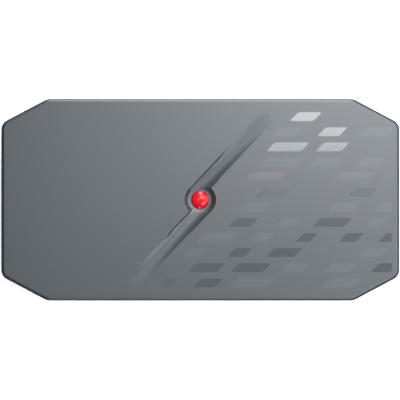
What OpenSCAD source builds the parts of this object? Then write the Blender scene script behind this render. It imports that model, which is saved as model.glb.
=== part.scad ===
// Video capture box: two plastic covers, a swirl-cut top with a lit lens,
// a circuit board with two video sockets and one data socket, and four feet.
// Millimetres. +Z is up, +Y is the rear (socket) side, and the origin is the
// centre of the plane that the feet stand on.

/* [Case] */
// Width of the case, left to right
case_w = 116; // [108:0.5:130]
// Depth of the case, front to rear
case_d = 58.8; // [56:0.2:68]
// Height of the two covers together, without the feet
case_h = 18; // [17.4:0.1:22]
// Height of the lower cover, up to the parting line
lower_h = 9.2; // [8.4:0.1:10.4]
// Length that a cut corner takes off a long side
corner_cut_x = 13.4; // [9:0.1:16]
// Length that a cut corner takes off a short side
corner_cut_y = 7.1; // [5:0.1:9]
// Radius where a cut corner meets a short side
end_r = 3; // [2.5:0.1:5]
// Radius where a cut corner meets a long side
shoulder_r = 4; // [2.5:0.1:8]
// Radius of the edge round the top face
top_edge_r = 1; // [0.4:0.1:1.6]
// Size of the slanted edge round the underside
base_bevel = 2; // [0.5:0.1:2.4]
// Thickness of the side walls
wall = 2; // [1.8:0.1:2.4]
// Thickness of the roof
roof = 2.4; // [2.1:0.1:2.8]
// Thickness of the floor
floor_t = 2; // [1.6:0.1:2.6]

/* [Seam] */
// Thickness of the lip that stands on the lower cover
lip_t = 0.9; // [0.7:0.05:1.1]
// Height of the lip
lip_h = 1.6; // [0.8:0.1:2]
// Clearance round the lip
lip_gap = 0.15; // [0.05:0.05:0.25]
// Depth of the shadow line into the wall
shadow_w = 0.5; // [0.2:0.05:0.7]
// Height of the shadow line
shadow_h = 0.4; // [0.2:0.05:0.8]

/* [Swirl] */
// Radius of the round pocket in the middle of the top
pocket_r = 4.6; // [4:0.1:5.5]
// Depth of the pocket
pocket_depth = 1.2; // [0.8:0.05:1.5]
// Width of the pocket's curved wall
pocket_wall = 1.7; // [1:0.1:1.9]
// Distance from the lens to the end of a channel
channel_reach = 32; // [24:0.5:34]
// Angle of the channels to the long sides, in degrees
channel_angle = 46.7; // [40:0.1:55]
// Width of a channel's curved wall
curve_w = 2.6; // [1.5:0.1:3]
// Width of a channel's steep wall
steep_w = 0.35; // [0.2:0.05:0.8]
// Distance from the lens at which the steep wall is half as deep as the channel
wall_fade = 13.4; // [8:0.2:20]

/* [Light pipe] */
// Diameter of the lens that shows in the pocket
lens_d = 5.2; // [4:0.1:5.8]
// Height of the lens's crown
lens_crown_h = 0.8; // [0.4:0.1:1]
// Distance from the lens's top down to the top face
lens_sink = 0.1; // [0:0.05:0.3]
// Diameter of the flange under the roof
flange_d = 8; // [7:0.1:9]
// Thickness of the flange
flange_t = 1; // [0.6:0.1:1.4]
// Diameter of the stem that reaches down to the lamp
stem_d = 4; // [3:0.1:4.6]
// Gap from the stem to the lamp
lamp_gap = 0.3; // [0.2:0.05:0.6]
// Clearance round the lens and the flange
lens_gap = 0.05; // [0.02:0.01:0.15]
// Wall of the collar round the flange
collar_t = 1.2; // [0.8:0.1:1.8]
// Height of the collar
collar_h = 1.6; // [1:0.1:2.2]

/* [Feet and screws] */
// Diameter of a foot
foot_d = 10; // [8:0.1:11]
// Height that a foot stands out of the case
foot_h = 1; // [0.6:0.1:2]
// Depth of the recess that a foot sits in
foot_seat = 0.6; // [0.4:0.1:1]
// Clearance round a foot
foot_gap = 0.1; // [0.05:0.05:0.2]
// Chamfer round a foot's lower edge
foot_chamfer = 0.5; // [0.2:0.1:0.8]
// Distance from a foot's centre to the end of the case
foot_inset_x = 12; // [11:0.1:14]
// Distance from a foot's centre to the long side of the case
foot_inset_y = 9.7; // [9.2:0.1:11]
// Diameter of a screw's shank
screw_d = 2.2; // [1.8:0.1:2.4]
// Length of a screw under its head
screw_l = 10; // [8:0.5:11]
// Diameter of a screw's head
head_d = 4.4; // [3.8:0.1:4.8]
// Height of a screw's head
head_h = 1.6; // [1.2:0.1:1.8]
// Depth of the hole that a screw's head drops into, past the foot's recess
head_hole = 1.9; // [1.9:0.1:2.4]
// Clearance round a screw's head
head_gap = 0.3; // [0.1:0.05:0.4]
// Clearance round a screw's shank in the boss and the board
shank_gap = 0.3; // [0.1:0.05:0.4]
// Clearance round a screw's shank in the post that it bites
pilot_gap = 0.05; // [0.02:0.01:0.1]
// Depth of a post's hole past the screw's tip
pilot_spare = 0.8; // [0.4:0.1:1.4]
// Diameter of a boss on the floor
boss_d = 7; // [6.6:0.1:8]
// Diameter of a post under the roof
post_d = 6.4; // [5.4:0.1:7]

/* [Board] */
// Height of the board over the floor
boss_h = 3; // [2.6:0.1:3.6]
// Thickness of the circuit board
board_t = 1.6; // [1.2:0.1:2]
// Clearance between the board's edge and the walls
board_gap = 0.6; // [0.3:0.1:1]

/* [Sockets] */
// Distance between the middles of neighbouring sockets
socket_pitch = 25; // [22:0.5:27]
// Depth of a socket's mouth behind the rear wall
socket_sink = 0.5; // [0:0.1:1.2]
// Clearance between a socket and its window
window_gap = 0.25; // [0.1:0.05:0.4]
// Bevel round a window
window_bevel = 0.5; // [0.2:0.1:0.9]
// Outer width of a video socket
video_w = 14.8; // [14:0.1:15.4]
// Outer height of a video socket
video_h = 5.3; // [4.8:0.1:5.8]
// Length of a video socket
video_l = 11.6; // [10:0.1:13]
// Size of the slanted lower corners of a video socket
video_cut = 1.5; // [1:0.1:1.8]
// Outer width of the data socket
data_w = 8.9; // [8.6:0.1:9.4]
// Outer height of the data socket
data_h = 3.2; // [3:0.1:3.4]
// Length of the data socket
data_l = 8.8; // [7.5:0.1:10]
// Thickness of a socket's metal shell
shell_t = 0.35; // [0.25:0.05:0.45]
// Distance from a socket's mouth to its tongue
tongue_sink = 1.2; // [0.6:0.1:2]
// Depth of the block at a socket's back
block_l = 2.8; // [2:0.1:3.4]
// Width of a socket leg
leg_w = 1.2; // [0.8:0.1:1.6]
// Length that a leg stands out under the board
leg_out = 0.8; // [0.4:0.1:1.2]
// Clearance round a leg in the board
leg_gap = 0.15; // [0.05:0.05:0.25]

/* [Vents] */
// Length of a vent slot
vent_l = 15; // [10:0.5:18]
// Width of a vent slot
vent_w = 1.6; // [1:0.1:2.2]
// Distance between neighbouring slots
vent_pitch = 4; // [3:0.1:4.6]
// Number of slots in a row
vent_count = 13; // [5:2:15]
// Distance between the middles of the two rows
vent_row_pitch = 19; // [18.6:0.1:24]

/* [Cooling] */
// Width of the heat sink
sink_w = 31; // [24:0.5:32]
// Depth of the heat sink
sink_d = 28; // [20:0.5:28]
// Thickness of the heat sink's base
sink_base = 1.5; // [1:0.1:2]
// Height of a fin
fin_h = 3.2; // [2:0.1:3.4]
// Thickness of a fin
fin_t = 1; // [0.8:0.1:1.4]
// Number of fins
fin_count = 9; // [5:1:11]
// Thickness of the thermal pad
pad_t = 0.8; // [0.5:0.1:1]

/* [Components] */
// Side of the capture processor
processor_w = 17; // [14:0.5:19]
// Height of the capture processor
processor_h = 1.6; // [1.2:0.1:1.8]
// Side of the video receiver chip
receiver_w = 10; // [8:0.5:11]
// Side of the video repeater chip
repeater_w = 8; // [6:0.5:9]
// Side of the data bridge chip
bridge_w = 9; // [7:0.5:10]
// Height of the flat chips
chip_h = 0.9; // [0.7:0.1:1.2]
// Length of a memory chip
memory_l = 13; // [10:0.5:14]
// Width of a memory chip
memory_w = 8; // [7:0.5:9]
// Side of a power inductor
inductor_w = 6; // [5:0.5:7]
// Height of a power inductor
inductor_h = 3; // [2:0.1:4]
// Diameter of a polymer capacitor
can_d = 5; // [4:0.1:6.3]
// Height of a polymer capacitor
can_h = 5.4; // [4:0.1:6]

/* [Hidden] */
$fn = 48;
over = 0.5;          // how far a cut runs past the face that it opens
arc_steps = 8;       // steps in each rounded corner and edge
channel_steps = 20;  // lofted sections along a channel
floor_steps = 4;     // steps across a channel's floor
fade_power = 2.75;   // how sharply the steep wall fades
pocket_steps = 72;   // sides of the pocket

// heights
base_z = foot_h;
floor_z = base_z + floor_t;
split_z = base_z + lower_h;
top_z = base_z + case_h;
roof_z = top_z - roof;
board_z = floor_z + boss_h;
board_top = board_z + board_t;
seat_z = base_z + foot_seat + head_hole;

// outline of the case, anticlockwise from the front right
cut_u = case_w / 2 - corner_cut_x;
cut_v = case_d / 2 - corner_cut_y;
case_corners = [
    [cut_u, -case_d / 2], [case_w / 2, -cut_v], [case_w / 2, cut_v], [cut_u, case_d / 2],
    [-cut_u, case_d / 2], [-case_w / 2, cut_v], [-case_w / 2, -cut_v], [-cut_u, -case_d / 2]
];
corner_radii = [shoulder_r, end_r, end_r, shoulder_r, shoulder_r, end_r, end_r, shoulder_r];
least_r = 0.4;

foot_x = case_w / 2 - foot_inset_x;
foot_y = case_d / 2 - foot_inset_y;
corners = [[-foot_x, -foot_y], [foot_x, -foot_y], [-foot_x, foot_y], [foot_x, foot_y]];

// sockets
mouth_y = case_d / 2 - socket_sink;
video_in_x = -socket_pitch;
video_out_x = 0;
data_x = socket_pitch;
video_corners = [
    [-video_w / 2 + video_cut, 0], [video_w / 2 - video_cut, 0], [video_w / 2, video_cut],
    [video_w / 2, video_h], [-video_w / 2, video_h], [-video_w / 2, video_cut]
];
tongue_w = 11;
tongue_t = 1.6;
tongue_up = 0.1;       // how far the video tongue sits above the middle of its socket
tongue_z = video_h / 2 + tongue_up;
fine_tongue_w = 6.7;
fine_tongue_t = 0.8;
contact_t = 0.15;
contact_w = 0.34;
contact_pitch = 1;
contact_foot = 0.5;    // length of a contact's foot on the board
fine_contact_w = 0.26;
fine_pitch = 0.5;
window_r = 0.6;

// Where the components stand. The rear group keeps its distance from the board's rear edge, the
// front group from its front edge, and the left group from the posts at the left.
board_rear = case_d / 2 - wall - board_gap;
board_front = -board_rear;
receiver_back = 18;
repeater_back = 16.6;
repeater_side = 7;
bridge_back = 11.8;
bridge_side = 10;
memory_in = 5.6;
memory_pitch = 17;
sink_clear = 1.8;
sink_front = 3.5;
inductor_clear = 5;
inductor_pitch = 10;
capacitor_pitch = 3;
capacitor_in = 2.3;
can_pitch = 7;
can_in = 10.6;
memory_gap = 2.6;
receiver_gap = 2.2;

sink_at = [foot_x - post_d / 2 - sink_clear - sink_w / 2, -sink_front];
receiver_at = [video_in_x, board_rear - receiver_back];
repeater_at = [video_out_x - repeater_side, board_rear - repeater_back];
bridge_at = [data_x + bridge_side, board_rear - bridge_back];
memory_at = [for (i = [-1, 0]) [sink_at.x + i * memory_pitch, board_front + memory_in]];
crystal_at = [receiver_at - [receiver_w, 0], bridge_at - [2.4 * bridge_w, 0]];
left_x = -foot_x + inductor_clear;
inductor_at = [
    [left_x, -0.7 * inductor_pitch], [left_x, 0.3 * inductor_pitch],
    [left_x + inductor_pitch, -1.5 * inductor_pitch]
];
can_at = [for (i = [0, 1]) [left_x + 2 * inductor_pitch + i * can_pitch, board_front + can_in]];
flash_at = [can_at[1].x, can_at[1].y + can_pitch];
capacitor_at = [
    for (i = [0:5]) receiver_at + [(i - 2) * capacitor_pitch, -receiver_w / 2 - receiver_gap],
    for (i = [0:4]) [left_x + (i + 1) * capacitor_pitch, board_front + capacitor_in],
    for (i = [0:3]) memory_at[0] + [(i - 2) * capacitor_pitch, memory_w / 2 + memory_gap]
];

rib_t = 1;
rib_h = 1.1;
rib_y = 13;
rib_xs = [14, 36];

function unit(v) = v / norm(v);
function left_of(v) = [-v.y, v.x];

// a convex anticlockwise outline moved inwards by d, or outwards where d is negative
function inset(pts, d) = let (n = len(pts)) [
    for (i = [0:n - 1])
        let (
            a = left_of(unit(pts[i] - pts[(i + n - 1) % n])),
            b = left_of(unit(pts[(i + 1) % n] - pts[i]))
        )
        pts[i] + d * (a + b) / (1 + a * b)
];

// the points of one rounded corner at v, coming from a and going on to b
function corner_arc(a, v, b, r, steps) =
    let (
        u = unit(a - v),
        w = unit(b - v),
        half = acos(u * w) / 2,
        centre = v + unit(u + w) * r / sin(half),
        first = v + u * r / tan(half) - centre,
        sweep = 180 - 2 * half
    )
    [for (k = [0:steps]) let (t = sweep * k / steps)
        centre + [first.x * cos(t) - first.y * sin(t), first.x * sin(t) + first.y * cos(t)]];

function rounded(pts, radii, steps) = let (n = len(pts)) [
    for (i = [0:n - 1])
        each corner_arc(pts[(i + n - 1) % n], pts[i], pts[(i + 1) % n], radii[i], steps)
];

function case_outline(d) =
    rounded(inset(case_corners, d), [for (r = corner_radii) max(r - d, least_r)], arc_steps);

function box_corners(w, d) = [[-w / 2, -d / 2], [w / 2, -d / 2], [w / 2, d / 2], [-w / 2, d / 2]];

// a slot with round ends, anticlockwise, centred on the origin
function stadium(l, w) = [
    for (k = [0:2 * arc_steps]) let (t = -90 + 90 * k / arc_steps)
        [(l - w) / 2 + w / 2 * cos(t), w / 2 * sin(t)],
    for (k = [0:2 * arc_steps]) let (t = 90 + 90 * k / arc_steps)
        [-(l - w) / 2 + w / 2 * cos(t), w / 2 * sin(t)]
];

function at_height(pts, z) = [for (p = pts) [p.x, p.y, z]];

// a solid through matching rings of points, each anticlockwise seen from the last ring's end
module loft(rings) {
    n = len(rings[0]);
    last = len(rings) - 1;
    polyhedron(
        points = [for (r = rings) each r],
        faces = [
            [for (i = [0:n - 1]) i],
            [for (i = [n - 1:-1:0]) last * n + i],
            for (k = [0:last - 1], i = [0:n - 1])
                let (j = (i + 1) % n)
                [k * n + i, (k + 1) * n + i, (k + 1) * n + j, k * n + j]
        ]
    );
}

// a straight-walled slab of the case's outline, moved inwards by d
module slab(d, z0, z1) {
    translate([0, 0, z0]) linear_extrude(z1 - z0) polygon(case_outline(d));
}

// The swirl in the top face: a round pocket and two channels that leave it at a tangent

module pocket_cut() {
    function circle_ring(r, z) =
        [for (k = [0:pocket_steps - 1]) let (t = 360 * k / pocket_steps) [r * cos(t), r * sin(t), z]];
    loft([
        for (k = [0:arc_steps]) let (t = k / arc_steps)
            circle_ring(pocket_r - pocket_wall * (1 - t), -pocket_depth * (1 - t * t)),
        circle_ring(pocket_r, over)
    ]);
}

// A channel's section at s from the lens: a curved wall at y = 0, a floor, and a steep wall at
// y = pocket_r. The curved wall climbs to the top face at channel_reach, and the steep wall fades
// sooner, so that the floor turns as it leaves the pocket.
function channel_section(s) =
    let (
        depth = pocket_depth * (1 - s / channel_reach),
        wall_depth = depth / (1 + pow(s / wall_fade, fade_power)),
        floor_w = pocket_r - steep_w - curve_w
    )
    [
        [0, over],
        for (k = [0:arc_steps]) let (t = 1 - k / arc_steps) [curve_w * (1 - t), -depth * (1 - t * t)],
        for (k = [1:floor_steps]) let (t = k / floor_steps)
            [curve_w + floor_w * t, -depth + (depth - wall_depth) * t * t],
        [pocket_r, 0],
        [pocket_r, over]
    ];

// the same section with its walls changed over, still anticlockwise
function turned(section) = [for (i = [len(section) - 1:-1:0]) [pocket_r - section[i].x, section[i].y]];

module channel_cut(flip) {
    run_out = channel_reach * 1.02;
    loft([
        for (k = [0:channel_steps])
            let (
                s = run_out * k / channel_steps,
                section = flip ? turned(channel_section(s)) : channel_section(s)
            )
            [for (p = section) [s, p.x, p.y]]
    ]);
}

module swirl_cut() {
    translate([0, 0, top_z]) rotate(channel_angle) {
        pocket_cut();
        channel_cut(false);
        rotate(180) channel_cut(true);
    }
}

// The windows that the sockets look out of

function video_window(d) = rounded(inset(video_corners, -d), [for (p = video_corners) window_r], 3);
function data_outline(d) = [for (p = stadium(data_w + 2 * d, data_h + 2 * d)) p + [0, data_h / 2]];

// a hole through the rear wall at x, from a wide ring on the outside to the narrow one inside
module window_cut(x, narrow, wide) {
    function ring(pts, y) = [for (p = pts) [x + p.x, y, board_top + p.y]];
    loft([
        ring(wide, case_d / 2 + over),
        ring(narrow, case_d / 2 - window_bevel),
        ring(narrow, case_d / 2 - wall - over)
    ]);
}

module windows_cut() {
    spread = window_gap + window_bevel + over;
    for (x = [video_in_x, video_out_x]) window_cut(x, video_window(window_gap), video_window(spread));
    window_cut(data_x, data_outline(window_gap), data_outline(spread));
}

// Covers

module top_cover() {
    color("#767b81") difference() {
        union() {
            difference() {
                loft([
                    at_height(case_outline(0), split_z),
                    for (k = [0:arc_steps])
                        let (
                            t = 90 * k / arc_steps,
                            in = top_edge_r * (1 - cos(t)),
                            down = top_edge_r * (1 - sin(t))
                        )
                        at_height(case_outline(in), top_z - down)
                ]);
                slab(wall, split_z - over, roof_z);
                slab(wall - lip_t - lip_gap, split_z - over, split_z + lip_h + lip_gap);
            }
            for (p = corners) translate([p.x, p.y, board_top])
                cylinder(d = post_d, h = roof_z + over - board_top);
            translate([0, 0, roof_z - collar_h])
                cylinder(d = flange_d + 2 * lens_gap + 2 * collar_t, h = collar_h + over);
            roof_ribs();
        }
        swirl_cut();
        cylinder(d = lens_d + 2 * lens_gap, h = top_z);
        cylinder(d = flange_d + 2 * lens_gap, h = roof_z);
        for (p = corners) translate([p.x, p.y, board_top - over])
            cylinder(d = screw_d + 2 * pilot_gap, h = seat_z + screw_l + pilot_spare - board_top + over);
        windows_cut();
    }
}

module roof_ribs() {
    for (y = [-rib_y, rib_y]) translate([-case_w / 2 + wall / 2, y - rib_t / 2, roof_z - rib_h])
        cube([case_w - wall, rib_t, rib_h + over]);
    for (side = [-1, 1], x = rib_xs)
        translate([side * x - rib_t / 2, -case_d / 2 + wall / 2, roof_z - rib_h])
            cube([rib_t, case_d - wall, rib_h + over]);
}

module bottom_cover() {
    color("#2c2e31") difference() {
        union() {
            difference() {
                loft([
                    at_height(case_outline(base_bevel), base_z),
                    at_height(case_outline(0), base_z + base_bevel),
                    at_height(case_outline(0), split_z)
                ]);
                slab(wall, floor_z, split_z + over);
            }
            difference() {
                slab(wall - lip_t, split_z - over, split_z + lip_h);
                slab(wall, split_z - 2 * over, split_z + lip_h + over);
            }
            for (p = corners) translate([p.x, p.y, base_z + floor_t / 2])
                cylinder(d = boss_d, h = board_z - base_z - floor_t / 2);
        }
        difference() {
            slab(-over, split_z - shadow_h, split_z);
            slab(shadow_w, split_z - shadow_h - over, split_z + over);
        }
        for (p = corners) translate([p.x, p.y, base_z - over]) {
            cylinder(d = foot_d + 2 * foot_gap, h = over + foot_seat);
            cylinder(d = head_d + 2 * head_gap, h = over + foot_seat + head_hole);
            cylinder(d = screw_d + 2 * shank_gap, h = board_z - base_z + 2 * over);
        }
        for (row = [-1, 1], i = [0:vent_count - 1])
            translate([(i - (vent_count - 1) / 2) * vent_pitch, row * vent_row_pitch / 2, base_z - over])
                rotate(90) linear_extrude(floor_t + 2 * over) polygon(stadium(vent_l, vent_w));
        windows_cut();
    }
}

// Feet, screws and the light pipe

module foot(i) {
    r = foot_d / 2;
    top = foot_h + foot_seat;
    color("#17181a") translate(corners[i]) rotate_extrude()
        polygon([[0, 0], [r - foot_chamfer, 0], [r, foot_chamfer], [r, top], [0, top]]);
}

module case_screws() {
    slot_w = 0.7;
    slot_l = 2.6;
    slot_h = 1;
    tip_l = screw_d / 2;
    tip_d = screw_d / 3;
    color("#8b8e92") for (p = corners) translate([p.x, p.y, seat_z - head_h]) difference() {
        union() {
            cylinder(d = head_d, h = head_h);
            translate([0, 0, head_h - over]) cylinder(d = screw_d, h = screw_l - tip_l + over);
            translate([0, 0, head_h + screw_l - tip_l]) cylinder(d1 = screw_d, d2 = tip_d, h = tip_l);
        }
        for (turn = [0, 90]) rotate(turn) translate([-slot_l / 2, -slot_w / 2, -over])
            cube([slot_l, slot_w, slot_h + over]);
    }
}

module light_pipe() {
    r = lens_d / 2;
    top = top_z - lens_sink;
    dome_r = (r * r + lens_crown_h * lens_crown_h) / (2 * lens_crown_h);
    dome_angle = asin(r / dome_r);
    lamp_z = board_top + lamp_h + lamp_gap;
    color("#e2202c") rotate_extrude() polygon([
        [0, lamp_z], [stem_d / 2, lamp_z],
        [stem_d / 2, roof_z - flange_t], [flange_d / 2, roof_z - flange_t],
        [flange_d / 2, roof_z], [r, roof_z],
        for (k = [0:arc_steps]) let (t = dome_angle * (1 - k / arc_steps))
            [k == arc_steps ? 0 : dome_r * sin(t), top - dome_r * (1 - cos(t))]
    ]);
}

// Board and the parts that stand on it

lamp_w = 3.5;
lamp_d = 2.8;
lamp_h = 1.9;
lamp_cup = 2.4;      // the cup's width at its mouth
lamp_cup_low = 1.7;  // and at its floor
lamp_key = 0.9;      // the corner cut that marks one pole

module leg_holes(x, w, ys) {
    for (side = [-1, 1], y = ys)
        translate([x + side * (w - shell_t) / 2, mouth_y - y, board_z - over])
            translate([-shell_t / 2 - leg_gap, -leg_w / 2 - leg_gap, 0])
                cube([shell_t + 2 * leg_gap, leg_w + 2 * leg_gap, board_t + 2 * over]);
}

video_leg_ys = [video_l * 0.4, video_l * 0.85];
data_leg_ys = [data_l * 0.45, data_l * 0.85];

module main_board() {
    color("#12402c") difference() {
        slab(wall + board_gap, board_z, board_top);
        for (p = corners) translate([p.x, p.y, board_z - over])
            cylinder(d = screw_d + 2 * shank_gap, h = board_t + 2 * over);
        for (x = [video_in_x, video_out_x]) leg_holes(x, video_w, video_leg_ys);
        leg_holes(data_x, data_w, data_leg_ys);
    }
}

module status_led() {
    color("#f1ede0") translate([0, 0, board_top]) difference() {
        translate([-lamp_w / 2, -lamp_d / 2, 0]) cube([lamp_w, lamp_d, lamp_h]);
        translate([0, 0, lamp_h / 2]) cylinder(d1 = lamp_cup_low, d2 = lamp_cup, h = lamp_h / 2);
        translate([lamp_w / 2, -lamp_d / 2, lamp_h]) rotate(45)
            cube([lamp_key, lamp_key, lamp_h], center = true);
    }
}

// Sockets. Each is drawn with its mouth at y = 0, its back at y = -l and its underside at z = 0.

module on_rear(x) {
    translate([x, mouth_y, board_top]) children();
}

module along_socket(l, pts) {
    rotate([90, 0, 0]) linear_extrude(l) polygon(pts);
}

module legs(w, from_z, ys) {
    for (side = [-1, 1], y = ys)
        translate([side * (w - shell_t) / 2 - shell_t / 2, -y - leg_w / 2, -board_t - leg_out])
            cube([shell_t, leg_w, board_t + leg_out + from_z]);
}

module video_shell(x) {
    finger = [2.2, 4.5];
    color("#b9bcc0") on_rear(x) {
        difference() {
            along_socket(video_l, video_corners);
            translate([0, over, 0]) along_socket(video_l + 2 * over, inset(video_corners, shell_t));
            for (side = [-1, 1]) translate([side * video_w / 4, -video_l * 0.45, video_h]) difference() {
                cube([finger.x + 2 * shell_t, finger.y, 4 * shell_t], center = true);
                translate([0, shell_t, 0]) cube([finger.x, finger.y, 5 * shell_t], center = true);
            }
        }
        legs(video_w, video_cut + over, video_leg_ys);
    }
}

// one contact as a bent strip: along the tongue, through the block, down behind it and onto the board
module contact(l, w, z, behind) {
    back = -l - behind;
    translate([w / 2, 0, 0]) rotate([90, 0, -90]) linear_extrude(w) polygon([
        [tongue_sink + over, z], [tongue_sink + over, z + contact_t], [-back + contact_t, z + contact_t],
        [-back + contact_t, contact_t], [-back + contact_foot, contact_t],
        [-back + contact_foot, 0], [-back, 0], [-back, z]
    ]);
}

module contact_rows(l, w, pitch, upper_count, lower_count, tongue_t, tongue_z, step_back) {
    for (i = [0:upper_count - 1]) translate([(i - (upper_count - 1) / 2) * pitch, 0, 0])
        contact(l, w, tongue_z + tongue_t / 2, step_back);
    for (i = [0:lower_count - 1]) translate([(i - (lower_count - 1) / 2) * pitch, 0, 0])
        contact(l, w, tongue_z - tongue_t / 2 - contact_t, 0);
}

module video_contact_set() {
    contact_rows(video_l, contact_w, contact_pitch, 10, 9, tongue_t, tongue_z, 0);
}

module data_contact_set() {
    contact_rows(data_l, fine_contact_w, fine_pitch, 12, 12, fine_tongue_t, data_h / 2, 2 * contact_foot);
}

module tongue(w, t, z, l) {
    translate([-w / 2, -l + block_l - over, z - t / 2]) cube([w, l - block_l + over - tongue_sink, t]);
}

module video_insulator(x) {
    color("#1b1c1e") on_rear(x) difference() {
        union() {
            translate([0, block_l - video_l, 0]) along_socket(block_l, inset(video_corners, shell_t));
            tongue(tongue_w, tongue_t, tongue_z, video_l);
        }
        video_contact_set();
    }
}

module video_contacts(x) {
    color("#c9a24a") on_rear(x) video_contact_set();
}

module data_shell() {
    color("#b9bcc0") on_rear(data_x) {
        difference() {
            along_socket(data_l, data_outline(0));
            translate([0, over, 0]) along_socket(data_l + 2 * over, data_outline(-shell_t));
        }
        legs(data_w, data_h / 2, data_leg_ys);
    }
}

module data_insulator() {
    color("#1b1c1e") on_rear(data_x) difference() {
        union() {
            translate([0, block_l - data_l, 0]) along_socket(block_l, data_outline(-shell_t));
            tongue(fine_tongue_w, fine_tongue_t, data_h / 2, data_l);
        }
        data_contact_set();
    }
}

module data_contacts() {
    color("#c9a24a") on_rear(data_x) data_contact_set();
}

// Chips and the other board parts

module on_board(at) {
    translate([at.x, at.y, board_top]) children();
}

// a moulded chip with a slanted upper edge and a dimple at its first pin
module chip(w, d, h) {
    edge = 0.2;
    mark_d = 0.8;
    mark_in = 1.2;
    difference() {
        loft([
            at_height(box_corners(w, d), 0),
            at_height(box_corners(w, d), h - edge),
            at_height(box_corners(w - 2 * edge, d - 2 * edge), h)
        ]);
        translate([mark_in - w / 2, d / 2 - mark_in, h - edge / 2]) cylinder(d = mark_d, h = edge);
    }
}

processor_rim = 1.2;  // carrier that shows round the processor's moulded body

module capture_processor() {
    carrier_h = 0.5;
    body_w = processor_w - 2 * processor_rim;
    color("#202225") on_board(sink_at) {
        linear_extrude(carrier_h) polygon(box_corners(processor_w, processor_w));
        translate([0, 0, carrier_h / 2]) chip(body_w, body_w, processor_h - carrier_h / 2);
    }
}

module video_receiver() {
    color("#202225") on_board(receiver_at) chip(receiver_w, receiver_w, chip_h);
}

module video_repeater() {
    color("#202225") on_board(repeater_at) chip(repeater_w, repeater_w, chip_h);
}

module data_bridge() {
    color("#202225") on_board(bridge_at) chip(bridge_w, bridge_w, chip_h);
}

module memory_chips() {
    color("#202225") for (p = memory_at) on_board(p) chip(memory_l, memory_w, chip_h);
}

module flash_chip() {
    body = [4.9, 3.9, 1.5];
    lead_w = 0.42;
    lead_t = 0.22;
    lead_z = 0.9;
    pitch = 1.27;
    root = body.y / 2 - 0.2;
    knee = body.y / 2 + 0.15;
    heel = knee + 0.3;
    toe = body.y / 2 + 1.05;
    color("#202225") on_board(flash_at) {
        translate([0, 0, lead_t / 2]) chip(body.x, body.y, body.z - lead_t / 2);
        for (side = [0, 180], i = [0:3]) rotate(side) translate([(i - 1.5) * pitch + lead_w / 2, 0, 0])
            rotate([90, 0, -90]) linear_extrude(lead_w) polygon([
                [root, lead_z], [knee + lead_t / 2, lead_z], [heel + lead_t / 2, lead_t], [toe, lead_t],
                [toe, 0], [heel, 0], [knee, lead_z - lead_t], [root, lead_z - lead_t]
            ]);
    }
}

module crystals() {
    can = [3.2, 2.5, 0.8];
    rim = 0.25;
    color("#c4c6c8") for (p = crystal_at) on_board(p) {
        linear_extrude(can.z / 2) polygon(box_corners(can.x, can.y));
        linear_extrude(can.z) polygon(box_corners(can.x - 2 * rim, can.y - 2 * rim));
    }
}

module power_inductors() {
    clip = [0.2, 3, 1.2];
    bevel = 0.8;
    color("#4a4b4d") for (p = inductor_at) on_board(p) {
        linear_extrude(inductor_h)
            polygon(rounded(box_corners(inductor_w, inductor_w), [for (i = [0:3]) bevel], 3));
        for (side = [-1, 1]) translate([side * inductor_w / 2, 0, clip.z / 2])
            cube([2 * clip.x, clip.y, clip.z], center = true);
    }
}

module polymer_capacitors() {
    plinth_w = can_d + 0.3;
    plinth_h = 0.9;
    neck = 0.25;
    edge = 0.3;
    low = plinth_h + 0.4;
    r = can_d / 2;
    color("#a9acb0") for (p = can_at) on_board(p) {
        linear_extrude(plinth_h) polygon(box_corners(plinth_w, plinth_w));
        rotate_extrude() polygon([
            [0, plinth_h / 2], [r, plinth_h / 2], [r, low], [r - neck, low + neck],
            [r, low + 2 * neck], [r, can_h - edge], [r - edge, can_h], [0, can_h]
        ]);
    }
}

module ceramic_capacitors() {
    body = [1.6, 0.8, 0.8];
    cap_l = 0.35;
    swell = 0.04;
    color("#a58a66") for (p = capacitor_at) on_board(p) {
        translate([-body.x / 2, -body.y / 2, swell]) cube([body.x, body.y, body.z]);
        for (side = [-1, 1]) translate([side * (body.x / 2 - cap_l / 2), 0, body.z / 2 + swell])
            cube([cap_l + 2 * swell, body.y + 2 * swell, body.z + 2 * swell], center = true);
    }
}

pad_z = board_top + processor_h;

module thermal_pad() {
    side = processor_w - 2 * processor_rim;
    color("#7f9db4") translate([sink_at.x, sink_at.y, pad_z])
        linear_extrude(pad_t) polygon(box_corners(side, side));
}

module heat_sink() {
    step = (sink_w - fin_t) / (fin_count - 1);
    color("#9aa0a6") translate([sink_at.x - sink_w / 2, sink_at.y + sink_d / 2, pad_z + pad_t])
        rotate([90, 0, 0]) linear_extrude(sink_d) polygon([
            [0, 0], [sink_w, 0],
            for (i = [fin_count - 1:-1:0]) each [
                [i * step + fin_t, i == fin_count - 1 ? 0 : sink_base],
                [i * step + fin_t, sink_base + fin_h],
                [i * step, sink_base + fin_h],
                [i * step, i == 0 ? 0 : sink_base]
            ]
        ]);
}

top_cover();
bottom_cover();
light_pipe();
foot(0);  // foot_front_left
foot(1);  // foot_front_right
foot(2);  // foot_rear_left
foot(3);  // foot_rear_right
case_screws();
main_board();
status_led();
video_shell(video_in_x);  // video_in_shell
video_insulator(video_in_x);  // video_in_insulator
video_contacts(video_in_x);  // video_in_contacts
video_shell(video_out_x);  // video_out_shell
video_insulator(video_out_x);  // video_out_insulator
video_contacts(video_out_x);  // video_out_contacts
data_shell();
data_insulator();
data_contacts();
capture_processor();
video_receiver();
video_repeater();
data_bridge();
memory_chips();
flash_chip();
crystals();
power_inductors();
polymer_capacitors();
ceramic_capacitors();
thermal_pad();
heat_sink();
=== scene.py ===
"""Looks of a video capture box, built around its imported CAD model.

Metres, in the CAD frame: +X along the long side, +Y to the socket side, +Z up.
"""

import math

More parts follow.
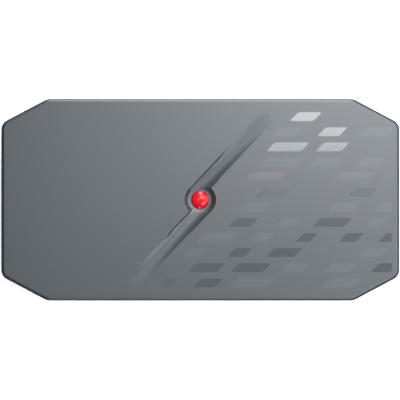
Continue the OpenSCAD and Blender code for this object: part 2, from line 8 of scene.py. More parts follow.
import bmesh
import bpy
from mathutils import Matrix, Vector


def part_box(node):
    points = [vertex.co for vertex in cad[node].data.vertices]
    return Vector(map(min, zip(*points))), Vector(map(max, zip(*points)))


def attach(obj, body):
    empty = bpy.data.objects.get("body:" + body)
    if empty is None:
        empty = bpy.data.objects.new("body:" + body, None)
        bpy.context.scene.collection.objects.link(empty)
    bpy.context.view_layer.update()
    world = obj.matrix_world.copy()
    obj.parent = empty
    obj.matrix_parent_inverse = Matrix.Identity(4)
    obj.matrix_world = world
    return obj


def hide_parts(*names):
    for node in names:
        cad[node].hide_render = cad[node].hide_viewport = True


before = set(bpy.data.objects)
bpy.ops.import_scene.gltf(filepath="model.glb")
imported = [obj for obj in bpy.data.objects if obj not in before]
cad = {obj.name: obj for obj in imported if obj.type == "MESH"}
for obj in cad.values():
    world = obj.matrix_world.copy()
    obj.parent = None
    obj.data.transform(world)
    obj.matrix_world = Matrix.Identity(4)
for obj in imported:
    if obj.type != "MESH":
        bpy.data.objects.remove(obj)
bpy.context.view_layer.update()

MM = 0.001
scene = bpy.context.scene
scene.view_settings.view_transform = "Standard"

# Sizes that the looks need, in millimetres, as in the part's source
CASE_W = 116.0
CASE_D = 58.8
TOP_Z = 19.0
TOP_EDGE_R = 1.0
ROOF_T = 2.4
CORNER_CUT = (13.4, 7.1)
SWIRL_ANGLE = math.radians(46.7)
POCKET_R = 4.6
LENS_R = 2.6


# Materials

# The cover: colour, roughness, specular level and grain of its plastic, then the inks of its print.
# A satin moulding's grain is near 0.1 mm. It is drawn at 0.5 mm, as coarse as it needs to show.
# VARNISH_RELIEF is the share of the grain's relief that is left under the varnish.
COVER_GREY = ("#23292f", "#272d33")
COVER_ROUGH = (0.38, 0.46)
COVER_SHINE = 0.72
GRAIN_MM = 0.5
GRAIN_DEPTH_MM = 0.004
FAINT_INK = "#2d363e"
VARNISH_INK = "#3e4345"
VARNISH_ROUGH = 0.18
VARNISH_RELIEF = 0.2

# The print, in millimetres: rows of cells with one dash in most of them. Cells lean to the right by LEAN for
# each millimetre up, and a row is shifted by up to ROW_SHIFT cells. Rows are counted from PRINT_SEED, so
# that another whole number draws other dashes. Six rows lie on each side of the middle, and print lies only
# within FLAT_DEPTH of the top.
CELL_W = 13.0
ROW_H = 4.4
ROW_SHIFT = 13.0
LEAN = 1 / math.tan(SWIRL_ANGLE)
DASH_LENGTH = (4.0, 11.0)
DASH_H = 2.6
DASH_CORNER_R = 0.6
DASH_SHARE = 0.85
VARNISH_SHARE = 0.5
PRINT_SEED = 6.0
PRINT_HALF = 6 * ROW_H
PRINT_MARGIN = 2.2
FLAT_DEPTH = 0.04

# The lens: its reds and painted rim shade, in millimetres where the shade starts, and how large its clouds
# are
LENS_RED = ("#a50e18", "#b81a24")
# Painted shade: the deeper red that the lens takes towards its rim
LENS_RIM_SHADE = "#8c0d16"
LENS_ROUGH = 0.13
LENS_SHINE = 0.16
LENS_GLOW = 0.08
LENS_RIM_SHADE_START = 1.7
LENS_CLOUD = 1.1


def linear(code):
    """An sRGB hex colour as linear red, green, blue and alpha."""
    parts = [int(code[i:i + 2], 16) / 255 for i in (1, 3, 5)]
    return [c / 12.92 if c <= 0.04045 else ((c + 0.055) / 1.055) ** 2.4 for c in parts] + [1.0]


def add(tree, kind, inputs=None, **settings):
    """Adds a node with its settings, and fills its inputs with values or links from sockets and nodes."""
    node = tree.nodes.new(kind)
    for name, value in settings.items():
        setattr(node, name, value)
    for key, value in (inputs or {}).items():
        if isinstance(value, bpy.types.Node):
            value = next(out for out in value.outputs if not out.is_unavailable)
        if isinstance(value, bpy.types.NodeSocket):
            tree.links.new(value, node.inputs[key])
        else:
            node.inputs[key].default_value = value
    return node


def new_material(name):
    """A material with an empty node tree, and that tree."""
    material = bpy.data.materials.new(name)
    material.use_nodes = True
    material.node_tree.nodes.clear()
    return material, material.node_tree


def place_in_mm(tree):
    """The place on the piece in millimetres, from its Object coordinates."""
    where = add(tree, "ShaderNodeTexCoord").outputs["Object"]
    return add(tree, "ShaderNodeMapping", {"Vector": where, "Scale": [1 / MM] * 3})


def grained(name, dark, light, rough, grain_mm, depth_mm, metallic=0.0, stretch=(1, 1, 1)):
    """A surface whose colour, gloss and relief follow one grain of a real size.

    rough is the span of roughness over the grain, and stretch draws the grain out along an axis.
    """
    material, tree = new_material(name)
    scale = [1 / (grain_mm * s) for s in stretch]
    placed = add(tree, "ShaderNodeMapping", {"Vector": place_in_mm(tree), "Scale": scale})
    grain = add(tree, "ShaderNodeTexNoise", {"Vector": placed, "Scale": 1.0, "Detail": 3.0})
    colour = add(tree, "ShaderNodeMix", {0: grain, 6: linear(dark), 7: linear(light)}, data_type="RGBA")
    gloss = add(tree, "ShaderNodeMapRange", {0: grain, 3: rough[0], 4: rough[1]})
    relief = add(tree, "ShaderNodeBump", {"Height": grain, "Distance": depth_mm * MM, "Strength": 1.0})
    shader = add(tree, "ShaderNodeBsdfPrincipled", {
        "Base Color": colour, "Roughness": gloss, "Normal": relief, "Metallic": metallic})
    add(tree, "ShaderNodeOutputMaterial", {0: shader})
    return material


def dash_cells(tree, in_mm):
    """Rows of cells that lean as the swirl does, each row shifted by chance against the next.

    Gives the place in the grid of cells, and three chances that are drawn for each cell.
    """
    y = add(tree, "ShaderNodeSeparateXYZ", {0: in_mm}).outputs[1]
    along_row = (1 / CELL_W, -LEAN / CELL_W, 0)
    column = add(tree, "ShaderNodeVectorMath", {0: in_mm, 1: along_row}, operation="DOT_PRODUCT")
    rows = add(tree, "ShaderNodeMath", {0: y, 1: 1 / ROW_H, 2: PRINT_SEED}, operation="MULTIPLY_ADD")
    row = add(tree, "ShaderNodeMath", {0: rows}, operation="FLOOR")
    shift = add(tree, "ShaderNodeTexWhiteNoise", {"W": row}, noise_dimensions="1D")
    columns = add(tree, "ShaderNodeMath", {0: shift, 1: ROW_SHIFT, 2: column}, operation="MULTIPLY_ADD")
    grid = add(tree, "ShaderNodeCombineXYZ", {0: columns, 1: rows})
    cell = add(tree, "ShaderNodeVectorMath", {0: grid}, operation="FLOOR")
    chance = add(tree, "ShaderNodeTexWhiteNoise", {"Vector": cell}, noise_dimensions="2D").outputs["Color"]
    return grid, add(tree, "ShaderNodeSeparateColor", {0: chance}).outputs


def dash_shape(tree, grid, length):
    """A dash with rounded corners in each cell: the points within the corners' radius of a leaning core.

    Gives where the dashes are, the place from the middle of the cell, and half the length of the core.
    """
    inner = add(tree, "ShaderNodeVectorMath", {0: grid}, operation="FRACTION")
    to_middle = {0: inner, 1: (CELL_W, ROW_H, 0), 2: (-CELL_W / 2, -ROW_H / 2, 0)}
    centred = add(tree, "ShaderNodeVectorMath", to_middle, operation="MULTIPLY_ADD")
    folded = add(tree, "ShaderNodeVectorMath", {0: centred}, operation="ABSOLUTE")
    shortest, longest = (size / 2 - DASH_CORNER_R for size in DASH_LENGTH)
    half_core = add(tree, "ShaderNodeMapRange", {0: length, 3: shortest, 4: longest})
    core = add(tree, "ShaderNodeCombineXYZ", {0: half_core, 1: DASH_H / 2 - DASH_CORNER_R})
    past_core = add(tree, "ShaderNodeVectorMath", {0: folded, 1: core}, operation="SUBTRACT")
    outside = add(tree, "ShaderNodeVectorMath", {0: past_core, 1: (0, 0, 0)}, operation="MAXIMUM")
    off_core = add(tree, "ShaderNodeVectorMath", {0: outside}, operation="LENGTH")
    dash = add(tree, "ShaderNodeMath", {0: off_core, 1: DASH_CORNER_R}, operation="LESS_THAN")
    return dash, centred, half_core


def dash_limits(tree, in_mm, centred, half_core):
    """How far a dash's left end is from the swirl, and how far its right end reaches to the cut corners.

    Gives each with the test and the limit that it has to meet. Both are the same all over a dash, so that a
    dash is kept or left out as a whole.
    """
    straight_x = add(tree, "ShaderNodeVectorMath", {0: centred, 1: (1, LEAN, 0)}, operation="DOT_PRODUCT")
    straight_y = add(tree, "ShaderNodeSeparateXYZ", {0: centred}).outputs[1]
    off_middle = add(tree, "ShaderNodeCombineXYZ", {0: straight_x, 1: straight_y})
    middle = add(tree, "ShaderNodeVectorMath", {0: in_mm, 1: off_middle}, operation="SUBTRACT")

    # The lower channel lies further right than the upper one, by the pocket's radius.
    sin_a, cos_a = math.sin(SWIRL_ANGLE), math.cos(SWIRL_ANGLE)
    aside = add(tree, "ShaderNodeVectorMath", {0: middle, 1: (sin_a, -cos_a, 0)}, operation="DOT_PRODUCT")
    left_end = add(tree, "ShaderNodeMath", {0: half_core, 1: -sin_a, 2: aside}, operation="MULTIPLY_ADD")
    middle_y = add(tree, "ShaderNodeSeparateXYZ", {0: middle}).outputs[1]
    below = add(tree, "ShaderNodeMath", {0: middle_y, 1: POCKET_R}, operation="LESS_THAN")
    start = add(tree, "ShaderNodeMath", {0: below, 1: POCKET_R, 2: PRINT_MARGIN}, operation="MULTIPLY_ADD")

    cut_x, cut_y = CORNER_CUT
    slope = math.hypot(cut_x, cut_y)
    outwards = (cut_y / slope, cut_x / slope, 0)
    corner_reach = (cut_y * (CASE_W / 2 - cut_x) + cut_x * CASE_D / 2) / slope
    off_axes = add(tree, "ShaderNodeVectorMath", {0: middle}, operation="ABSOLUTE")
    reach = add(tree, "ShaderNodeVectorMath", {0: off_axes, 1: outwards}, operation="DOT_PRODUCT")
    to_end = {0: half_core, 1: outwards[0], 2: reach}
    right_end = add(tree, "ShaderNodeMath", to_end, operation="MULTIPLY_ADD")
    return (left_end, "GREATER_THAN", start), (right_end, "LESS_THAN", corner_reach - PRINT_MARGIN)


def dash_print(tree, in_mm):
    """Dashes right of the swirl, clear of the edges and only on the flat top.

    Gives where there is print, and which cells have theirs in varnish. Only the right margin cuts a dash.
    """
    x, y, z = add(tree, "ShaderNodeSeparateXYZ", {0: in_mm}).outputs
    grid, (length, presence, kind) = dash_cells(tree, in_mm)
    ink, centred, half_core = dash_shape(tree, grid, length)
    for value, test, limit in (
        (presence, "LESS_THAN", DASH_SHARE),
        *dash_limits(tree, in_mm, centred, half_core),
        (x, "LESS_THAN", CASE_W / 2 - PRINT_MARGIN),
        (y, "GREATER_THAN", -PRINT_HALF),
        (y, "LESS_THAN", PRINT_HALF),
        (z, "GREATER_THAN", TOP_Z - FLAT_DEPTH),
    ):
        inside = add(tree, "ShaderNodeMath", {0: value, 1: limit}, operation=test)
        ink = add(tree, "ShaderNodeMath", {0: ink, 1: inside}, operation="MULTIPLY")
    return ink, add(tree, "ShaderNodeMath", {0: kind, 1: VARNISH_SHARE}, operation="LESS_THAN")


def cover_material():
    """ABS, moulded satin and printed: dark blue-grey that turns pale in a broad soft shine, with dashes in
    a gloss varnish that is dark or pale as the lamps stand, and dashes in a faint blue-grey ink."""
    material, tree = new_material("abs_moulded_satin_printed")
    in_mm = place_in_mm(tree)
    ink, in_varnish = dash_print(tree, in_mm)
    varnish = add(tree, "ShaderNodeMath", {0: ink, 1: in_varnish}, operation="MULTIPLY")
    grain = add(tree, "ShaderNodeTexNoise", {"Vector": in_mm, "Scale": 1 / GRAIN_MM, "Detail": 2.0})
    dark, light = (linear(code) for code in COVER_GREY)
    plain = add(tree, "ShaderNodeMix", {0: grain, 6: dark, 7: light}, data_type="RGBA")
    two_inks = {0: in_varnish, 6: linear(FAINT_INK), 7: linear(VARNISH_INK)}
    inks = add(tree, "ShaderNodeMix", two_inks, data_type="RGBA")
    colour = add(tree, "ShaderNodeMix", {0: ink, 6: plain, 7: inks}, data_type="RGBA")
    satin = add(tree, "ShaderNodeMapRange", {0: grain, 3: COVER_ROUGH[0], 4: COVER_ROUGH[1]})
    gloss = add(tree, "ShaderNodeMix", {0: varnish, 2: satin, 3: VARNISH_ROUGH})
    depth = add(tree, "ShaderNodeMapRange", {0: varnish, 3: 1.0, 4: VARNISH_RELIEF})
    bumps = {"Height": grain, "Distance": GRAIN_DEPTH_MM * MM, "Strength": depth}
    relief = add(tree, "ShaderNodeBump", bumps)
    shader = add(tree, "ShaderNodeBsdfPrincipled", {
        "Base Color": colour, "Roughness": gloss, "Normal": relief,
        "IOR": 1.53, "Specular IOR Level": COVER_SHINE})
    add(tree, "ShaderNodeOutputMaterial", {0: shader})
    return material


def lens_material():
    """Polycarbonate, polished, dyed red and lit from below: a full clear red with faint clouds, and painted
    shade that deepens the red towards the rim, in its colour and its glow."""
    material, tree = new_material("polycarbonate_polished_red")
    in_mm = place_in_mm(tree)
    flat = add(tree, "ShaderNodeVectorMath", {0: in_mm, 1: (1, 1, 0)}, operation="MULTIPLY")
    out = add(tree, "ShaderNodeVectorMath", {0: flat}, operation="LENGTH")
    # Painted shade: the red deepens towards the rim, in the base colour and in the glow alike
    rim_shade_span = {0: out, 1: LENS_RIM_SHADE_START, 2: LENS_R, 3: 0.0, 4: 1.0}
    rim = add(tree, "ShaderNodeMapRange", rim_shade_span, interpolation_type="SMOOTHSTEP")
    clouds = add(tree, "ShaderNodeTexNoise", {"Vector": in_mm, "Scale": 1 / LENS_CLOUD, "Detail": 1.0})
    deep, bright = (linear(code) for code in LENS_RED)
    body = add(tree, "ShaderNodeMix", {0: clouds, 6: deep, 7: bright}, data_type="RGBA")
    red = add(tree, "ShaderNodeMix", {0: rim, 6: body, 7: linear(LENS_RIM_SHADE)}, data_type="RGBA")
    shader = add(tree, "ShaderNodeBsdfPrincipled", {
        "Base Color": red, "Roughness": LENS_ROUGH, "IOR": 1.585, "Specular IOR Level": LENS_SHINE,
        "Emission Color": red, "Emission Strength": LENS_GLOW})
    add(tree, "ShaderNodeOutputMaterial", {0: shader})
    return material


finishes = {
    "cover": cover_material(),
    "lens": lens_material(),
    # ABS, spark-eroded mould: dull charcoal with a fine even texture
    "base": grained("abs_spark_eroded_charcoal", "#26282b", "#34373b", (0.5, 0.68), 0.45, 0.012),
    # Silicone rubber, moulded: near-black and dry, with almost no shine
    "rubber": grained("silicone_rubber_moulded", "#151618", "#1f2123", (0.75, 0.92), 0.6, 0.01),
    # Steel, nickel plated: bright warm-white metal with faint drawing lines along the socket
    "shell": grained("steel_nickel_plated", "#b3b1ab", "#d2d0ca", (0.2, 0.34), 0.12, 0.002, 1.0, (1, 12, 1)),
    # Glass-filled nylon, moulded: black, half glossy, slightly clouded
    "insulator": grained("nylon_moulded_black", "#141517", "#1e2022", (0.32, 0.46), 0.3, 0.004),
    # Brass, gold flashed: warm yellow metal with a fine stamped grain
    "contact": grained("brass_gold_flashed", "#c79a3f", "#e3bd66", (0.18, 0.3), 0.08, 0.001, 1.0),
    # Glass-epoxy board under solder mask: deep green, half glossy, with a woven unevenness
    "board": grained("glass_epoxy_solder_mask", "#0e3a27", "#16543a", (0.3, 0.42), 0.5, 0.004),
    # Epoxy, moulded: black and dull, as chips are
    "chip": grained("epoxy_moulded_black", "#1a1b1d", "#26282a", (0.5, 0.64), 0.15, 0.003),
    # Aluminium, extruded: pale metal drawn out in lines along the fins
    "sink": grained("aluminium_extruded", "#989ca0", "#b6babd", (0.32, 0.46), 0.1, 0.003, 1.0, (1, 20, 1)),
    # Steel, zinc plated: grey-white metal with a light bloom
    "screw": grained("steel_zinc_plated", "#94989c", "#b9bdc1", (0.28, 0.42), 0.2, 0.002, 1.0),
    # Iron powder, pressed: dark grey and gritty
    "inductor": grained("iron_powder_pressed", "#38393b", "#515254", (0.6, 0.8), 0.12, 0.008),
    # Aluminium, drawn can: pale metal with a soft sheen
    "can": grained("aluminium_drawn", "#b2b5b8", "#ced1d4", (0.24, 0.36), 0.15, 0.002, 1.0, (1, 1, 6)),
    # Ceramic, fired: tan and dull with fine specks
    "ceramic": grained("ceramic_fired_tan", "#8e714e", "#b3946b", (0.45, 0.6), 0.1, 0.002),
    # Silicone gap pad, cast: soft grey-blue and matt
    "pad": grained("silicone_pad_cast", "#7088a0", "#8fa6bb", (0.7, 0.85), 0.4, 0.01),
    # Nylon, moulded white: clean and half glossy
    "lamp": grained("nylon_moulded_white", "#e2ddcf", "#f4f0e4", (0.3, 0.42), 0.2, 0.002),
    # Nickel silver, stamped: bright lid with a fine grain
    "crystal": grained("nickel_silver_stamped", "#b7b7b4", "#d6d6d3", (0.22, 0.34), 0.1, 0.001, 1.0),
}

SOCKETS = ("video_in", "video_out", "data")
FEET = ("foot_front_left", "foot_front_right", "foot_rear_left", "foot_rear_right")
node_finish = {
    "case_screws": "screw", "main_board": "board", "status_led": "lamp",
    "capture_processor": "chip", "video_receiver": "chip", "video_repeater": "chip", "data_bridge": "chip",
    "memory_chips": "chip", "flash_chip": "chip", "crystals": "crystal", "power_inductors": "inductor",
    "polymer_capacitors": "can", "ceramic_capacitors": "ceramic", "thermal_pad": "pad", "heat_sink": "sink",
}
for socket in SOCKETS:
    node_finish[socket + "_shell"] = "shell"
    node_finish[socket + "_insulator"] = "insulator"
for name, finish in node_finish.items():
    cad[name].data.materials.clear()
    cad[name].data.materials.append(finishes[finish])


# Pieces

# Points closer than MERGE_MM are joined, faces that turn by less than FLAT_DEGREES are one face, and edges
# that turn by more than CRISP_DEGREES stay crisp.
MERGE_MM = 0.002
FLAT_DEGREES = 0.2
CRISP_DEGREES = 32


def stand_for(piece, slot, *nodes):
    """Lets a finished piece ride with the case in the place of CAD nodes."""
    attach(piece, "root")
    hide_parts(*nodes)


def settle(piece):
    """Turns what a piece's modifiers make into its plain mesh."""
    mesh = bpy.data.meshes.new_from_object(piece.evaluated_get(bpy.context.evaluated_depsgraph_get()))
    mesh.name = piece.name
    piece.modifiers.clear()
    piece.data = mesh


def shaded(name, mesh, finish):
    """A piece in one finish that shades smoothly between its crisp edges."""
    mesh.materials.clear()
    mesh.materials.append(finishes[finish])
    mesh.polygons.foreach_set("use_smooth", [True] * len(mesh.polygons))
    mesh.set_sharp_from_angle(angle=math.radians(CRISP_DEGREES))
    piece = bpy.data.objects.new(name, mesh)
    scene.collection.objects.link(piece)
    return piece


def smooth_moulding(node, name, finish):
    """A joined copy of a CAD node that shades smoothly and keeps its real edges crisp."""
    mesh = cad[node].data.copy()
    mesh.attributes.remove(mesh.attributes["custom_normal"])
    shape = bmesh.new()
    shape.from_mesh(mesh)
    bmesh.ops.remove_doubles(shape, verts=shape.verts, dist=MERGE_MM * MM)
    flat = math.radians(FLAT_DEGREES)
    bmesh.ops.dissolve_limit(shape, angle_limit=flat, verts=shape.verts, edges=shape.edges)
    shape.to_mesh(mesh)
    shape.free()
    piece = shaded(name, mesh, finish)
    even = piece.modifiers.new("even_shading", "WEIGHTED_NORMAL")
    even.keep_sharp = True
    settle(piece)
    return piece


stand_for(smooth_moulding("top_cover", "top_moulding", "cover"), "cover_grey", "top_cover")
stand_for(smooth_moulding("bottom_cover", "bottom_moulding", "base"), "base_charcoal", "bottom_cover")


def turned(name, profile, finish, steps):
    """A closed solid of revolution about Z, from radius and height in millimetres."""
    shape = bmesh.new()
    points = [shape.verts.new((r * MM, 0, z * MM)) for r, z in profile]
    edges = [shape.edges.new(pair) for pair in zip(points, points[1:])]
    turn = {"cent": (0, 0, 0), "axis": (0, 0, 1), "angle": 2 * math.pi}
    bmesh.ops.spin(shape, geom=points + edges, steps=steps, **turn)
    bmesh.ops.remove_doubles(shape, verts=shape.verts, dist=MERGE_MM * MM)
    bmesh.ops.recalc_face_normals(shape, faces=shape.faces)
    mesh = bpy.data.meshes.new(name)
    shape.to_mesh(mesh)
    shape.free()
    return shaded(name, mesh, finish)


def lens_profile():
    """The light pipe from the lamp up: stem, flange under the roof, barrel and dome."""
    low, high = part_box("light_pipe")
    stem_r, flange_r, flange_t = 2.0, 4.0, 1.0
    crown, dome_steps = 0.8, 24
    bottom, top = low[2] / MM, high[2] / MM
    roof = TOP_Z - ROOF_T
    flange_z = roof - flange_t
    dome_r = (LENS_R ** 2 + crown ** 2) / (2 * crown)
    half_angle = math.asin(LENS_R / dome_r)
    angles = [half_angle * (1 - k / dome_steps) for k in range(dome_steps + 1)]
    stem = [(0, bottom), (stem_r, bottom), (stem_r, flange_z)]
    flange = [(flange_r, flange_z), (flange_r, roof), (LENS_R, roof)]
    dome = [(dome_r * math.sin(a), top - dome_r * (1 - math.cos(a))) for a in angles]
    return stem + flange + dome


stand_for(turned("red_lens", lens_profile(), "lens", steps=96), "lens_red", "light_pipe")


def new_tree(name, inputs):
    """A Geometry Nodes tree with named inputs, given as name to socket kind.

    Gives the tree, and the sockets that its inputs come from.
    """
    tree = bpy.data.node_groups.new(name, "GeometryNodeTree")
    for label, kind in inputs.items():
        tree.interface.new_socket(label, in_out="INPUT", socket_type="NodeSocket" + kind)
    tree.interface.new_socket("Geometry", in_out="OUTPUT", socket_type="NodeSocketGeometry")
    return tree, add(tree, "NodeGroupInput").outputs


def end_tree(tree, points, instance, finish):
    """Sets an instance on each point, and ends the tree in a plain mesh with its finish."""
    placed = add(tree, "GeometryNodeInstanceOnPoints", {"Points": points, "Instance": instance})
    real = add(tree, "GeometryNodeRealizeInstances", {0: placed})
    return add(tree, "GeometryNodeSetMaterial", {"Geometry": real, "Material": finishes[finish]})


def grow(name, tree, values):
    """The plain mesh that a tree makes from the values of its inputs."""
    piece = bpy.data.objects.new(name, bpy.data.meshes.new(name))
    scene.collection.objects.link(piece)
    modifier = piece.modifiers.new(name, "NODES")
    modifier.node_group = tree
    for item in tree.interface.items_tree:
        if item.in_out == "INPUT":
            modifier[item.identifier] = values[item.name]
    settle(piece)
    return piece


def foot_tree():
    """Round rubber feet at the corners of a rectangle, with a softly rounded lower edge."""
    tree, given = new_tree("rubber_feet", {
        "Radius": "Float", "Height": "Float", "Edge": "Float", "Across": "Float", "Along": "Float"})
    disc = add(tree, "GeometryNodeMeshCylinder", {
        "Vertices": 64, "Side Segments": 2, "Fill Segments": 24,
        "Radius": given["Radius"], "Depth": given["Height"]}).outputs["Mesh"]
    place = add(tree, "GeometryNodeInputPosition")
    flat = add(tree, "ShaderNodeVectorMath", {0: place, 1: (1, 1, 0)}, operation="MULTIPLY")
    out = add(tree, "ShaderNodeVectorMath", {0: flat}, operation="LENGTH")
    share = add(tree, "ShaderNodeMath", {0: out, 1: given["Radius"]}, operation="DIVIDE")

    # The underside, the part below a tenth of the height, rises towards the rim as a superellipse does.
    edge_power, underside = 10.0, -0.4
    power = add(tree, "ShaderNodeMath", {0: share, 1: edge_power}, operation="POWER")
    rest = add(tree, "ShaderNodeMath", {0: 1.0, 1: power}, operation="SUBTRACT", use_clamp=True)
    level = add(tree, "ShaderNodeMath", {0: rest}, operation="SQRT")
    fall = add(tree, "ShaderNodeMath", {0: 1.0, 1: level}, operation="SUBTRACT")
    rise_z = add(tree, "ShaderNodeMath", {0: fall, 1: given["Edge"]}, operation="MULTIPLY")
    rise = add(tree, "ShaderNodeCombineXYZ", {2: rise_z})
    z = add(tree, "ShaderNodeSeparateXYZ", {0: place}).outputs[2]
    near_floor = add(tree, "ShaderNodeMath", {0: given["Height"], 1: underside}, operation="MULTIPLY")
    low = add(tree, "FunctionNodeCompare", {0: z, 1: near_floor}, operation="LESS_THAN")
    foot = add(tree, "GeometryNodeSetPosition", {"Geometry": disc, "Selection": low, "Offset": rise})

    half_z = add(tree, "ShaderNodeMath", {0: given["Height"], 1: 0.5}, operation="MULTIPLY")
    lift = add(tree, "ShaderNodeCombineXYZ", {2: half_z})
    stood = add(tree, "GeometryNodeTransform", {"Geometry": foot, "Translation": lift})
    soft = add(tree, "GeometryNodeSetShadeSmooth", {"Geometry": stood})
    corners = add(tree, "GeometryNodeMeshGrid", {
        "Size X": given["Across"], "Size Y": given["Along"],
        "Vertices X": 2, "Vertices Y": 2}).outputs["Mesh"]
    add(tree, "NodeGroupOutput", {0: end_tree(tree, corners, soft, "rubber")})
    return tree


def corner_feet():
    """The four feet, set from the one at the rear right."""
    low, high = (Vector(corner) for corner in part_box("foot_rear_right"))
    middle = (low + high) / 2
    piece = grow("corner_feet", foot_tree(), {
        "Radius": (high.x - low.x) / 2, "Height": high.z - low.z, "Edge": 0.5 * MM,
        "Across": 2 * middle.x, "Along": 2 * middle.y})
    stand_for(piece, "foot_rubber", *FEET)


def contact_tree():
    """Two rows of bent contact strips: along the tongue, down behind the socket, a foot on the board."""
    sizes = ("Middle", "Front", "Board", "Foot", "Width", "Thickness", "Bend", "Pitch",
             "Upper Height", "Upper Back", "Lower Height", "Lower Back")
    counts = ("Upper Count", "Lower Count")
    inputs = {**dict.fromkeys(sizes, "Float"), **dict.fromkeys(counts, "Int")}
    tree, given = new_tree("contact_rows", inputs)

    across = {"Width": given["Width"], "Height": given["Thickness"]}
    section = add(tree, "GeometryNodeCurvePrimitiveQuadrilateral", across)
    on_board = {0: given["Thickness"], 1: 0.5, 2: given["Board"]}
    foot_z = add(tree, "ShaderNodeMath", on_board, operation="MULTIPLY_ADD")
    both = add(tree, "GeometryNodeJoinGeometry")
    for row in ("Upper", "Lower"):
        height, back, count = (given[row + part] for part in (" Height", " Back", " Count"))
        heel = add(tree, "ShaderNodeMath", {0: back, 1: given["Foot"]}, operation="ADD")
        bends = ((given["Front"], height), (heel, height), (heel, foot_z), (back, foot_z))
        path = add(tree, "GeometryNodeCurvePrimitiveQuadrilateral", {
            "Point %d" % (k + 1): add(tree, "ShaderNodeCombineXYZ", {1: y, 2: z})
            for k, (y, z) in enumerate(bends)}, mode="POINTS")
        opened = add(tree, "GeometryNodeSetSplineCyclic", {"Geometry": path, "Cyclic": False})
        bent = add(tree, "GeometryNodeFilletCurve", {
            "Curve": opened, "Count": 3, "Radius": given["Bend"], "Limit Radius": True}, mode="POLY")
        faced = add(tree, "GeometryNodeSetCurveNormal", {"Curve": bent, "Normal": (1, 0, 0)}, mode="FREE")
        strip = add(tree, "GeometryNodeCurveToMesh", {
            "Curve": faced, "Profile Curve": section, "Fill Caps": True})
        gaps = add(tree, "ShaderNodeMath", {0: count, 1: 1.0}, operation="SUBTRACT")
        span = add(tree, "ShaderNodeMath", {0: gaps, 1: given["Pitch"]}, operation="MULTIPLY")
        from_middle = {0: span, 1: -0.5, 2: given["Middle"]}
        first_x = add(tree, "ShaderNodeMath", from_middle, operation="MULTIPLY_ADD")
        first = add(tree, "ShaderNodeCombineXYZ", {0: first_x})
        step = add(tree, "ShaderNodeCombineXYZ", {0: given["Pitch"]})
        line = add(tree, "GeometryNodeMeshLine", {"Count": count, "Start Location": first, "Offset": step})
        tree.links.new(end_tree(tree, line, strip, "contact").outputs[0], both.inputs[0])
    add(tree, "NodeGroupOutput", {0: both})
    return tree


def contact_strips(tree, socket, upper, lower, width_mm, tongue_mm, step_mm):
    """The contacts of one socket, in two rows on its tongue.

    upper and lower count the strips, and step_mm is how far the lower row stands in front of the upper one.
    """
    strip, foot, bend = 0.15 * MM, 0.5 * MM, 0.1 * MM
    width, tongue, step = width_mm * MM, tongue_mm * MM, step_mm * MM
    low, high = (Vector(corner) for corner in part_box(socket + "_contacts"))
    upper_z = high.z - strip / 2
    piece = grow(socket + "_contact_strips", tree, {
        "Middle": (low.x + high.x) / 2, "Front": high.y, "Board": low.z, "Foot": foot,
        "Width": width, "Thickness": strip, "Bend": bend, "Pitch": (high.x - low.x - width) / (upper - 1),
        "Upper Count": upper, "Upper Height": upper_z, "Upper Back": low.y,
        "Lower Count": lower, "Lower Height": upper_z - strip - tongue, "Lower Back": low.y + step})
    stand_for(piece, "contact_gold", socket + "_contacts")


VIDEO_CONTACTS = {"upper": 10, "lower": 9, "width_mm": 0.34, "tongue_mm": 1.6, "step_mm": 0.0}
DATA_CONTACTS = {"upper": 12, "lower": 12, "width_mm": 0.26, "tongue_mm": 0.8, "step_mm": 1.0}
corner_feet()
contacts = contact_tree()
contact_strips(contacts, "video_in", **VIDEO_CONTACTS)
contact_strips(contacts, "video_out", **VIDEO_CONTACTS)
contact_strips(contacts, "data", **DATA_CONTACTS)


# Studio

# Four softboxes hang above and one to the right. A low strip behind gives the shine on the upper edge, and a
# small lamp in front gives the glint on the lens.
TOP_MIDDLE = (0.0, 0.0, TOP_Z * MM)
LAMP_TINT = "#fafdff"
LAMPS = (  # name, place, point aimed at, width and height, watts
    ("softbox_key", (0.076, 0.086, 0.25), (0.076, 0.086, 0.0), (0.15, 0.142), 0.67),
    ("softbox_back", (0.02, 0.29, 0.25), TOP_MIDDLE, (0.16, 0.16), 1.1),
    ("softbox_fore", (0.12, -0.12, 0.25), TOP_MIDDLE, (0.2, 0.1), 0.46),
    ("softbox_side", (0.3, 0.06, 0.25), TOP_MIDDLE, (0.3, 0.25), 0.7),
    ("softbox_fill", (-0.0455, 0.01, 0.25), (-0.0455, 0.01, 0.0), (0.041, 0.12), 0.068),
    ("strip_rear", (0.0, 0.57, 0.12), TOP_MIDDLE, (0.25, 0.1), 2.1),
    ("lamp_front", (-0.015, -0.45, 0.25), TOP_MIDDLE, (0.09, 0.05), 0.55),
)
BACKDROP = "#f2f4f6"
BACKDROP_LIGHT = 0.03
FLOOR_WHITE = ("#f1f1f1", "#f6f6f6")
FLOOR_GLOW = 0.6
FLOOR_CLOUD_MM = 250
FLOOR_HALF = 4.0


def softbox(name, at, aim, size, watts):
    """A rectangle of light that the camera doesn't see."""
    light = bpy.data.lights.new(name, "AREA")
    light.shape = "RECTANGLE"
    light.size, light.size_y = size
    light.energy = watts
    light.color = linear(LAMP_TINT)[:3]
    lamp = bpy.data.objects.new(name, light)
    lamp.location = at
    lamp.rotation_euler = (Vector(aim) - Vector(at)).to_track_quat("-Z", "Y").to_euler()
    lamp.visible_camera = False
    scene.collection.objects.link(lamp)


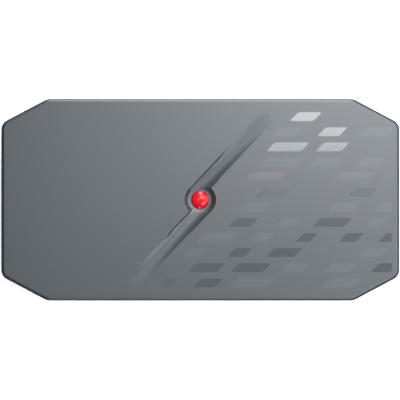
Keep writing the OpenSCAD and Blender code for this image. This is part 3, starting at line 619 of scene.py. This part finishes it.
def backdrop():
    """A pale surround that is bright to the camera and gives the case little light."""
    world = bpy.data.worlds.new("studio")
    world.use_nodes = True
    tree = world.node_tree
    seen = add(tree, "ShaderNodeLightPath").outputs["Is Camera Ray"]
    strength = add(tree, "ShaderNodeMapRange", {0: seen, 3: BACKDROP_LIGHT, 4: 1.0})
    background = tree.nodes["Background"]
    background.inputs["Color"].default_value = linear(BACKDROP)
    tree.links.new(strength.outputs[0], background.inputs["Strength"])
    scene.world = world


def pale_floor():
    """Painted board: an even white with faint broad clouds that shows no edge against the backdrop."""
    material, tree = new_material("painted_board_white")
    cloud = add(tree, "ShaderNodeTexNoise", {"Vector": place_in_mm(tree), "Scale": 1 / FLOOR_CLOUD_MM})
    dull, bright = (linear(code) for code in FLOOR_WHITE)
    pale = add(tree, "ShaderNodeMix", {0: cloud, 6: dull, 7: bright}, data_type="RGBA")
    shader = add(tree, "ShaderNodeBsdfPrincipled", {
        "Base Color": pale, "Roughness": 0.9,
        "Emission Color": linear("#ffffff"), "Emission Strength": FLOOR_GLOW})
    add(tree, "ShaderNodeOutputMaterial", {0: shader})
    mesh = bpy.data.meshes.new("floor")
    corners = [(x * FLOOR_HALF, y * FLOOR_HALF, 0) for x, y in ((-1, -1), (1, -1), (1, 1), (-1, 1))]
    mesh.from_pydata(corners, [], [(0, 1, 2, 3)])
    mesh.materials.append(material)
    floor = bpy.data.objects.new("floor", mesh)
    scene.collection.objects.link(floor)
    floor.visible_glossy = False


for lamp in LAMPS:
    softbox(*lamp)
backdrop()
pale_floor()


# Camera

# The case's outline, at the foot of the rounded top edge, spans CASE_PIXELS of the picture's width. The
# camera stands OFF_MIDDLE from the case's middle, in millimetres.
IMAGE_PIXELS = 400
CASE_PIXELS = 397.9
DISTANCE = 1.2
OFF_MIDDLE = (-0.087, -0.077)


def camera_above():
    """The photograph's view of the top: straight down, from far off."""
    camera = bpy.data.cameras.new("camera")
    camera.sensor_width = 36.0
    camera.lens = camera.sensor_width * DISTANCE / (CASE_W * MM * IMAGE_PIXELS / CASE_PIXELS)
    camera.clip_end = 50.0
    eye = bpy.data.objects.new("camera", camera)
    eye.location = (OFF_MIDDLE[0] * MM, OFF_MIDDLE[1] * MM, (TOP_Z - TOP_EDGE_R) * MM + DISTANCE)
    scene.collection.objects.link(eye)
    scene.camera = eye


camera_above()
